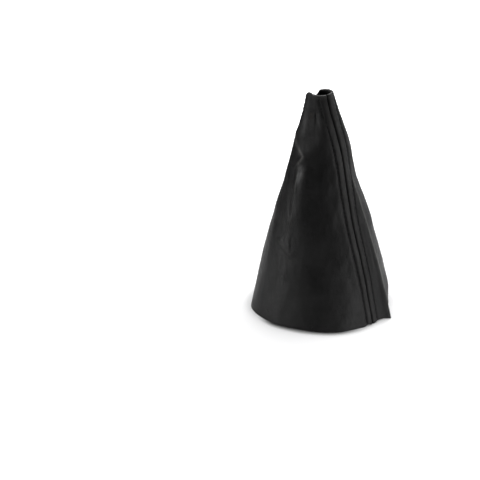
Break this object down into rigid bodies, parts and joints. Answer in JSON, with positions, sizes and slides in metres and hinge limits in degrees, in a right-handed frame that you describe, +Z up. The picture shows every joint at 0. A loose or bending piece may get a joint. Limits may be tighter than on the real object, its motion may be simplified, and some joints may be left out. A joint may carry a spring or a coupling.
{
  "type": "gear lever gaiter",
  "caption": "Tapering black leather sleeve that closes the gap round a gear lever: wide oval hem, narrow cuff, stitched seams.",
  "frame": {"origin": "under the middle of the sleeve, on the surface that its hem lies on", "axes": "+Z up from the hem to the rim, -Y towards the front, +X to the right, where the visible seam is at the front right"},
  "size_m": [0.1316, 0.119, 0.2093],
  "materials": {
    "leather": "fine grained black leather, semi-matt",
    "thread": "black bonded polyester sewing thread"
  },
  "bodies": {
    "root": {"front_panel": "leather", "back_panel": "leather", "side_seam_closing_thread": "thread", "side_seam_topstitch_front": "thread", "side_seam_bobbin_front": "thread", "side_seam_topstitch_back": "thread", "side_seam_bobbin_back": "thread", "rear_seam_closing_thread": "thread", "rear_seam_topstitch_back": "thread", "rear_seam_bobbin_back": "thread", "rear_seam_topstitch_front": "thread", "rear_seam_bobbin_front": "thread"}
  },
  "joints": []
}
